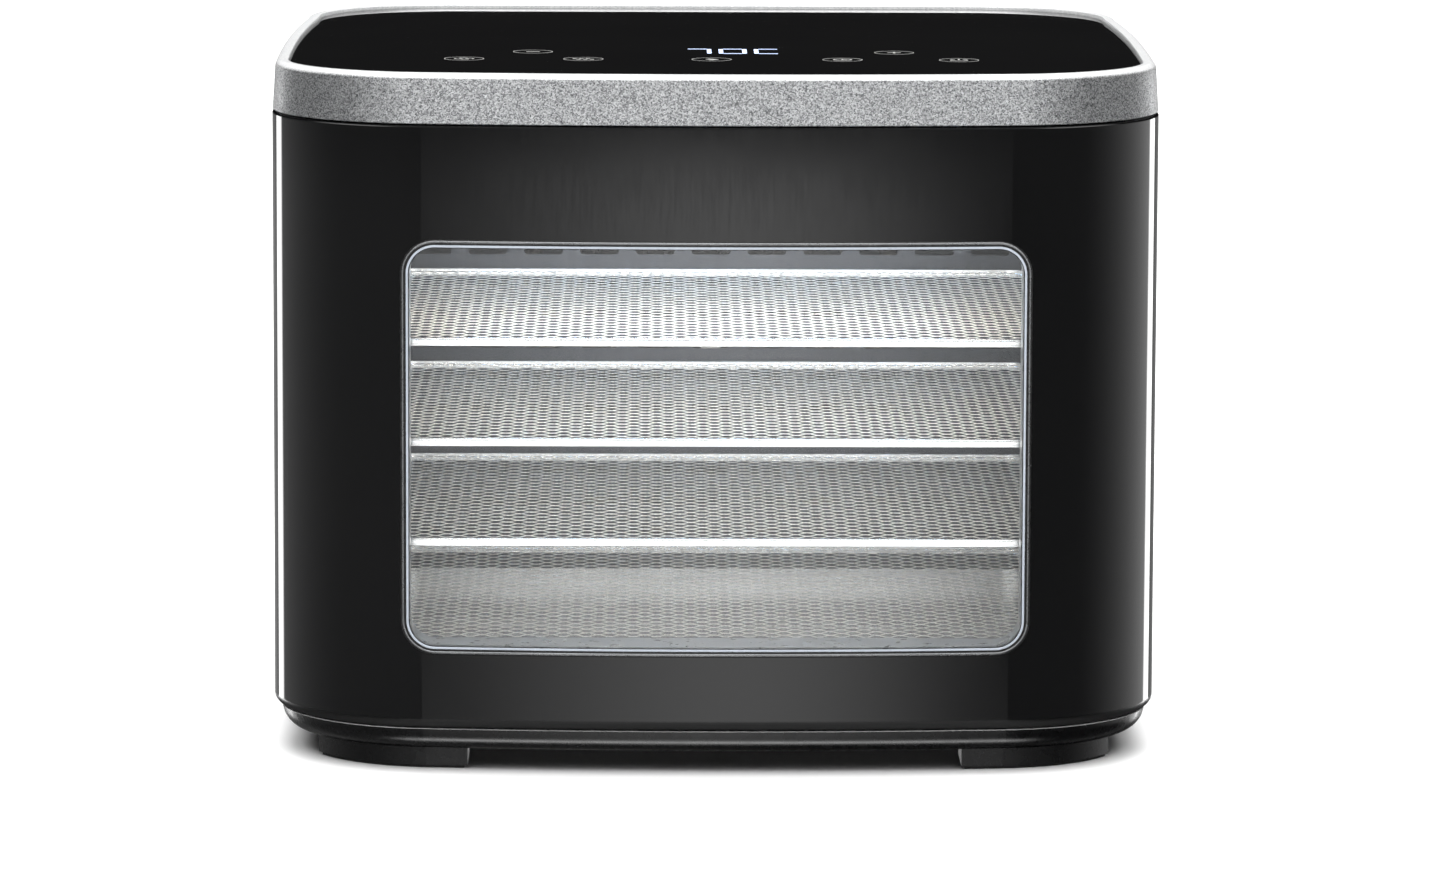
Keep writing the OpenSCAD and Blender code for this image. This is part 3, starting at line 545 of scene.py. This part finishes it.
def body_outline():
    """Plan outline with outward normals, from the middle of the front round to the right."""
    def on_arc(cx, cy, r, a):
        return cx + r * math.cos(a), cy + r * math.sin(a), math.cos(a), math.sin(a)

    n = ARC_STEPS
    bow_y = BOW_FRONT + BOW_R
    end = math.atan2(CORNER_X, bow_y - FRONT_Y)
    half = []
    for k in range(n + 1):
        a = end * k / n
        half.append((BOW_R * math.sin(a), bow_y - BOW_R * math.cos(a), math.sin(a), -math.cos(a)))
    start = end - math.pi / 2
    half += [on_arc(CORNER_X, FRONT_Y, CORNER, start * (1 - k / n)) for k in range(1, n + 1)]
    half += [(SIDE_X, FRONT_Y + (REAR_Y - FRONT_Y) * k / n, 1.0, 0.0) for k in range(1, n)]
    half += [on_arc(CORNER_X, REAR_Y, CORNER, math.pi / 2 * k / n) for k in range(n + 1)]
    half += [(CORNER_X * (1 - k / BACK_STEPS), REAR_Y + CORNER, 0.0, 1.0)
             for k in range(1, BACK_STEPS + 1)]
    return half + [(-x, y, -nx, ny) for x, y, nx, ny in reversed(half[1:-1])]


def ring_profile(lean):
    """(inset, height) round the ring's section: leaning wall, crest, lip and hidden inside."""
    foot = RING_LOW + 0.35
    rise = RING_TOP - RING_ROUND - foot
    wall = [(RING_IN + 0.35, RING_LOW), (RING_IN, foot)]
    wall += [(RING_IN + lean * t, foot + rise * t) for t in (0.25, 0.5, 0.75, 1.0)]
    for k in range(1, ROUND_STEPS + 1):
        a = math.pi / 2 * k / ROUND_STEPS
        inset = RING_IN + lean + RING_ROUND * (1 - math.cos(a))
        wall.append((inset, RING_TOP - RING_ROUND * (1 - math.sin(a))))
    lip = lean + RIM
    inner, step = 11.5, RING_LOW + 2.2
    return wall + [
        (lip - 0.6, RING_TOP), (lip - 0.2, RING_TOP - 0.12), (lip, RING_TOP - 0.45),
        (lip, GLASS_TOP - 0.6), (inner, GLASS_TOP - 3.4), (inner, step), (2.6, step), (2.6, RING_LOW),
    ]


def top_ring():
    """The silver ring, whose section leans in by an amount that changes along the sides."""
    outline = body_outline()
    points = []
    for x, y, nx, ny in outline:
        points += [(x - nx * i, y - ny * i, z) for i, z in ring_profile(lean_at(y))]
    faces = loop_faces(len(outline), len(points) // len(outline))
    piece = add_piece("leaning_ring", points, faces, "housing", "ring_silver", crease=35)
    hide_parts("top_ring")


def top_glass():
    """The glass panel, with a small rounded edge, inside the ring's lip."""
    points, faces = [], []
    outline = body_outline()
    levels = [(RIM + 0.5, GLASS_TOP), (RIM + 0.2, GLASS_TOP - 0.12),
              (RIM + 0.08, GLASS_TOP - 0.4), (RIM + 0.08, GLASS_TOP - 3.1)]
    n = len(outline)
    for edge, z in levels:
        for x, y, nx, ny in outline:
            inset = edge + lean_at(y)
            points.append((x - nx * inset, y - ny * inset, z))
    for level in range(len(levels) - 1):
        for i in range(n):
            j = (i + 1) % n
            faces.append((level * n + j, level * n + i, level * n + n + i, level * n + n + j))
    faces.append(tuple(range(n)))
    faces.append(tuple(reversed(range(3 * n, 4 * n))))
    piece = add_piece("glass_top", points, faces, "housing", "black_glass", crease=20)
    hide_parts("touch_glass")


top_ring()
top_glass()


# ---------------------------------------------------------------- window trim

# the window's opening on the door: x and z ranges, corner radius, and how finely it is cut up
WINDOW = (-119.0, 119.0, 45.6, 203.6)
WINDOW_R = 13.0
WINDOW_STEPS = 14
WINDOW_PITCH = 8.0
# (inset from the opening's edge, depth behind the face) round the three sections
TRIM_GREY = [(0.55, 0.44), (0.55, 0.2), (0.72, 0.1), (1.08, 0.1), (1.25, 0.2), (1.25, 0.44)]
TRIM_BLACK = [(0.06, 0.48), (0.06, 0.42), (3.3, 0.42), (3.3, 0.48)]
# the third section is the bead painted as the highlight along the pane's edge
TRIM_HIGHLIGHT = [(2.15, 0.44), (2.15, 0.3), (2.35, 0.2), (2.8, 0.2), (3.0, 0.3), (3.0, 0.44)]


def on_bow(x, z, depth):
    """A point at a depth behind the door's bowed face."""
    centre_y = cad_box[0][1] / MM + BOW_R
    reach = BOW_R - depth
    return x, centre_y - math.sqrt(reach ** 2 - x ** 2), z


def fine_loop(x0, x1, z0, z1, r, steps, pitch):
    """The rounded rectangle with its straight runs cut up, so that it can follow the bow."""
    loop = rounded_loop(x0, x1, z0, z1, r, steps)
    out = []
    for k, (p, n) in enumerate(loop):
        q, _ = loop[(k + 1) % len(loop)]
        out.append((p, n))
        gap = math.dist(p, q)
        if gap > 2 * pitch:
            parts = int(gap / pitch)
            out += [((p[0] + (q[0] - p[0]) * i / parts, p[1] + (q[1] - p[1]) * i / parts), n)
                    for i in range(1, parts)]
    return out


def window_trim():
    """A grey metal bead, and a bluish-white bead painted as the bright edge highlight, in a black
    groove round the window.
    """
    loop = fine_loop(*WINDOW, WINDOW_R, WINDOW_STEPS, WINDOW_PITCH)
    for name, profile, slot, metal in (
        ("trim_outer", TRIM_GREY, "bezel_grey", None),
        ("trim_groove", TRIM_BLACK, "satin_black", None),
        ("trim_inner", TRIM_HIGHLIGHT, "bezel_grey", TRIM_HIGHLIGHT_MAT),
    ):
        shape = [(-u, d) for u, d in reversed(profile)]
        points, faces = sweep_loop(loop, shape, on_bow)
        add_piece(name, points, faces, "door", slot, metal, 40)
    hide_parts("window_bezel")


# (inset, height) round the bead's section
SEAM_PROFILE = [(3.3, 16.45), (2.75, 16.5), (2.6, 16.66), (2.75, 16.82), (3.3, 16.85)]


def seam_highlight_bead():
    """A light grey bead on the lip of the base, just under the shell, painted as the highlight line
    along the shell's lower edge.
    """
    outline = body_outline()
    points = []
    for x, y, nx, ny in outline:
        points += [(x - nx * i, y - ny * i, z) for i, z in SEAM_PROFILE]
    faces = loop_faces(len(outline), len(SEAM_PROFILE), flip=True)
    add_piece("seam_highlight_bead", points, faces, "housing", "bezel_grey", SEAM_HIGHLIGHT, 60)


# painted highlight: plain light grey, standing in for the shell's lower edge catching the light
SEAM_HIGHLIGHT = varied("seam_highlight", (0.5, 0.5, 0.5), 0.05, 0.35, 0.05, 1500, 0.00001).mat
# painted highlight: bluish white, standing in for the pane's edge lit by the chamber lamps
TRIM_HIGHLIGHT_MAT = varied("trim_highlight", (0.42, 0.46, 0.52), 0.04, 0.3, 0.05, 1500, 0.00002).mat
seam_highlight_bead()
window_trim()


# ---------------------------------------------------------------- touch panel

def flat_bar(points, faces, x0, y0, x1, y1, width, z, thick=0.04):
    """A thin printed bar from one point to another."""
    dx, dy = x1 - x0, y1 - y0
    span = math.hypot(dx, dy)
    nx, ny = -dy / span * width / 2, dx / span * width / 2
    start = len(points)
    corners = [(x0 - nx, y0 - ny), (x1 - nx, y1 - ny), (x1 + nx, y1 + ny), (x0 + nx, y0 + ny)]
    points += [(x, y, z) for x, y in corners] + [(x, y, z + thick) for x, y in corners]
    faces += [tuple(start + k for k in f) for f in (
        (3, 2, 1, 0), (4, 5, 6, 7), (0, 1, 5, 4), (1, 2, 6, 5), (2, 3, 7, 6), (3, 0, 4, 7))]


def flat_arc(points, faces, cx, cy, r, start, end, width, z):
    """A thin printed arc, in degrees, as short bars with shared ends."""
    steps = max(3, int(abs(end - start) / 9))
    spots = []
    for k in range(steps + 1):
        a = math.radians(start + (end - start) * k / steps)
        spots.append((cx + r * math.cos(a), cy + r * math.sin(a)))
    for (ax, ay), (bx, by) in zip(spots, spots[1:]):
        flat_bar(points, faces, ax, ay, bx, by, width, z)


SEGMENTS = {
    "a": (0, 1, 1, 1), "b": (1, 1, 1, 0.5), "c": (1, 0.5, 1, 0), "d": (0, 0, 1, 0),
    "e": (0, 0, 0, 0.5), "f": (0, 0.5, 0, 1), "g": (0, 0.5, 1, 0.5),
}
READOUT = ("abc", "abcdef", "adef")
# digits: width, depth, pitch, middle, bar widths, and the gap that separates the bars
DIGIT_W = 9.2
DIGIT_D = 20.5
DIGIT_PITCH = 13.8
DIGIT_X = 7.0
DIGIT_Y = -47.0
BAR_UP = 1.7
BAR_ACROSS = 1.1
BAR_GAP = 0.9


def readout(z):
    """Three seven-segment signs on the glass."""
    points, faces = [], []
    for place, lit in enumerate(READOUT):
        x = DIGIT_X + (place - 1) * DIGIT_PITCH - DIGIT_W / 2
        y = DIGIT_Y - DIGIT_D / 2
        for name in lit:
            x0, y0, x1, y1 = SEGMENTS[name]
            ends = [x + x0 * DIGIT_W, y + y0 * DIGIT_D, x + x1 * DIGIT_W, y + y1 * DIGIT_D]
            if x0 == x1:
                gap = BAR_GAP if y1 > y0 else -BAR_GAP
                ends[1] += gap
                ends[3] -= gap
            else:
                ends[0] += BAR_GAP
                ends[2] -= BAR_GAP
            flat_bar(points, faces, *ends, BAR_UP if x0 == x1 else BAR_ACROSS, z)
    add_piece("readout", points, faces, "housing", "lamp_lens", READOUT_GLOW, 30)


MARK_R = 7.6
MARK_LINE = 0.26
MARK_LIFT = 0.03
RING_SPOTS = [(-97, -84), (-71, -51), (-51, -84), (-1.5, -84), (49, -84), (70, -51), (94, -84)]


def touch_icons(z):
    """Round touch marks, each with a simple sign: fan, minus, heat, lamp, clock, plus and power."""
    points, faces = [], []
    for cx, cy in RING_SPOTS:
        flat_arc(points, faces, cx, cy, MARK_R, 0, 360, MARK_LINE, z)

    def bar(i, x0, y0, x1, y1, w=0.7):
        cx, cy = RING_SPOTS[i]
        flat_bar(points, faces, cx + x0, cy + y0, cx + x1, cy + y1, w, z)

    def arc(i, x, y, r, a0, a1, w=0.6):
        cx, cy = RING_SPOTS[i]
        flat_arc(points, faces, cx + x, cy + y, r, a0, a1, w, z)

    for k in range(4):
        a = math.radians(90 * k)
        arc(0, 1.9 * math.cos(a), 1.9 * math.sin(a), 1.7, 90 * k - 40, 90 * k + 150)
    bar(1, -2.6, 0, 2.6, 0, 1.1)
    for k in (-1, 0, 1):
        arc(2, 2.6 * k, 1.2, 1.3, 90, 270)
        arc(2, 2.6 * k, -1.4, 1.3, -90, 90)
    bar(3, -1.6, 1.6, 1.9, -1.6, 2.4)
    bar(3, -1.0, -3.2, 1.0, -3.2, 0.9)
    arc(4, 0, 0, 3.4, 0, 360)
    bar(4, 0, -0.2, 0, 2.4)
    bar(4, 0, 0, 1.8, 0)
    bar(5, -2.6, 0, 2.6, 0, 0.9)
    bar(5, 0, -2.6, 0, 2.6, 0.9)
    arc(6, 0, 0, 3.2, 120, 420)
    bar(6, 0, 0.8, 0, 4.4)
    add_piece("touch_icons", points, faces, "housing", "lamp_lens", ICON_GLOW, 30)


READOUT_GLOW = lamp_glow("readout_glow", (0.6, 0.72, 1.0), 1.0)
ICON_GLOW = lamp_glow("icon_glow", (0.36, 0.36, 0.35), 0.36)
panel_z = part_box("touch_glass")[1][2] / MM + MARK_LIFT
readout(panel_z)
touch_icons(panel_z)


# ---------------------------------------------------------------- stage

def add_light(name, kind, place, aim, energy, **values):
    data = bpy.data.lights.new(name, kind)
    data.energy = energy
    for key, value in values.items():
        setattr(data, key, value)
    light = bpy.data.objects.new(name, data)
    light.location = place
    light.rotation_euler = (Vector(aim) - Vector(place)).to_track_quat("-Z", "Y").to_euler()
    bpy.context.scene.collection.objects.link(light)
    return light


FLOOR_HALF = 30.0


def add_floor():
    """A plain white floor that glossy surfaces do not mirror."""
    corners = [(FLOOR_HALF * x, FLOOR_HALF * y, 0) for x, y in ((-1, -1), (1, -1), (1, 1), (-1, 1))]
    mesh = bpy.data.meshes.new("floor")
    mesh.from_pydata(corners, [], [(0, 1, 2, 3)])
    m = Mat("floor_white", (0.92, 0.92, 0.92), 0.7)
    m.color(m.mix(m.span(m.noise(3, 2), 0.3, 0.7), (0.91, 0.91, 0.91), (0.93, 0.93, 0.93)))
    mesh.materials.append(m.mat)
    floor = bpy.data.objects.new("floor", mesh)
    bpy.context.scene.collection.objects.link(floor)
    floor.visible_glossy = False


# light round the horizon, in degrees from -Y towards +X: where each part of it rises or falls
SKY_BASE = 0.1
LEFT_SIDE = 0.15
LEFT_FALL = (-125, -68)
RIGHT_SIDE = 0.8
RIGHT_RISE = (62, 135)
RIGHT_FALL = (150, 153)
# a narrow bright strip on each side, towards the back
STRIP = 4.6
STRIP_RISE = (138.5, 141.5)
STRIP_FALL = (150.4, 152.6)
# a soft light straight in front, just below the horizon, which the bowed door mirrors
FRONT_LIGHT = 1.6
FRONT_RISE = (-18, 1.5)
FRONT_FALL = (2, 17)
FRONT_FILL = 0.1
FILL_FALL = (-20, -5)
FRONT_EDGE = (-6.1, -5.15)  # elevations, in degrees, between which it fades out upwards
# the sky's other parts: brightness, and what glossy rays see on top of it
KEY = (1.0, 2.6)
CEILING = (4.2, -2.0)
TABLE_TOP = 7.0
GLOW = 4.0
FILL = 0.01


def add_world():
    """A soft studio sky for what the surfaces mirror, and plain white for the camera."""
    world = bpy.data.worlds.new("studio")
    bpy.context.scene.world = world
    world.use_nodes = True
    world.node_tree.nodes.clear()
    g = Graph(world.node_tree)

    def fade(value, low, high, out_low=0.0, out_high=1.0):
        return g.span(value, low, high, out_low, out_high, smooth=True)

    def product(first, *others):
        for other in others:
            first = g.math("MULTIPLY", first, other)
        return first

    def total(first, *others):
        for other in others:
            first = g.math("ADD", first, other)
        return first

    def band(low, rise, fall, high):
        """One from rise to fall, and nothing below low and above high, by the ray's z."""
        return product(fade(z, low, rise), fade(z, fall, high, 1.0, 0.0))

    coord = g.new("ShaderNodeTexCoord")
    split = g.new("ShaderNodeSeparateXYZ")
    g.link(coord.outputs["Generated"], split.inputs[0])
    x, y, z = (split.outputs[k] for k in "XYZ")
    ahead = g.math("MULTIPLY", y, -1)
    path = g.new("ShaderNodeLightPath")
    glossy = path.outputs["Is Glossy Ray"]

    turn = g.math("MULTIPLY", g.math("ARCTAN2", x, ahead), 180 / math.pi)
    off_front = g.math("ABSOLUTE", turn)
    left = product(fade(turn, *LEFT_FALL, 1.0, 0.0), LEFT_SIDE)
    right = product(fade(turn, *RIGHT_RISE), fade(turn, *RIGHT_FALL, 1.0, 0.2), RIGHT_SIDE)
    strips = product(fade(off_front, *STRIP_RISE), fade(off_front, *STRIP_FALL, 1.0, 0.0), STRIP)
    around = product(total(left, right, strips, SKY_BASE), fade(z, -0.4, -0.24, 0.03, 1.0))
    low_edge, high_edge = (math.sin(math.radians(a)) for a in FRONT_EDGE)
    front = product(fade(turn, *FRONT_RISE), fade(turn, *FRONT_FALL, 1.0, 0.0), FRONT_LIGHT)
    fill = product(fade(turn, *FILL_FALL, 1.0, 0.0), FRONT_FILL)
    front = product(total(front, fill), fade(z, low_edge, high_edge, 1.0, 0.0))
    low = product(total(around, front), fade(z, -0.04, -0.005, 1.0, 0.0))
    # above the horizon: dark behind, a soft key in front, a wide ceiling light
    key = product(fade(ahead, 0.1, 0.75), fade(z, 0.32, 0.6),
                  g.math("MULTIPLY_ADD", glossy, KEY[1], KEY[0]))
    ceiling = product(fade(z, 0.6, 0.85), fade(z, 0.9, 0.97, 1.0, 0.15),
                      g.math("MULTIPLY_ADD", glossy, CEILING[1], CEILING[0]))
    # the bright tabletop, well below the horizon, for the lower edges
    table_top = product(fade(ahead, 0.12, 0.26), band(-0.99, -0.96, -0.93, -0.87), TABLE_TOP)
    # a low front glow that only glossy rays meet, for the metallic ring and the upper edges
    glow = product(band(-0.02, 0.02, 0.09, 0.17), fade(ahead, 0.5, 0.95), GLOW, glossy)

    background = g.new("ShaderNodeBackground")
    g.link(total(low, key, ceiling, table_top, glow, FILL), background.inputs["Color"])
    plain = g.new("ShaderNodeBackground")
    plain.inputs["Color"].default_value = (1, 1, 1, 1)
    chosen = g.new("ShaderNodeMixShader")
    g.link(path.outputs["Is Camera Ray"], chosen.inputs[0])
    g.link(background.outputs[0], chosen.inputs[1])
    g.link(plain.outputs[0], chosen.inputs[2])
    out = g.new("ShaderNodeOutputWorld")
    g.link(chosen.outputs[0], out.inputs[0])


add_floor()
add_world()
ceiling_light = add_light("ceiling_soft", "AREA", (0, 0.45, 1.9), (0, 0.1, 0), 42,
                          shape="RECTANGLE", size=1.8, size_y=1.8)
ceiling_light.visible_glossy = False
add_light("chamber_front", "AREA", (0, -0.128, 0.229), (0, 0.02, 0.1), 0.8,
          shape="RECTANGLE", size=0.22, size_y=0.02, color=(1.0, 0.95, 0.88))
add_light("chamber_back", "AREA", (0, 0.06, 0.233), (0, -0.02, 0.1), 0.4,
          shape="RECTANGLE", size=0.2, size_y=0.05, color=(0.5, 0.72, 1.0))
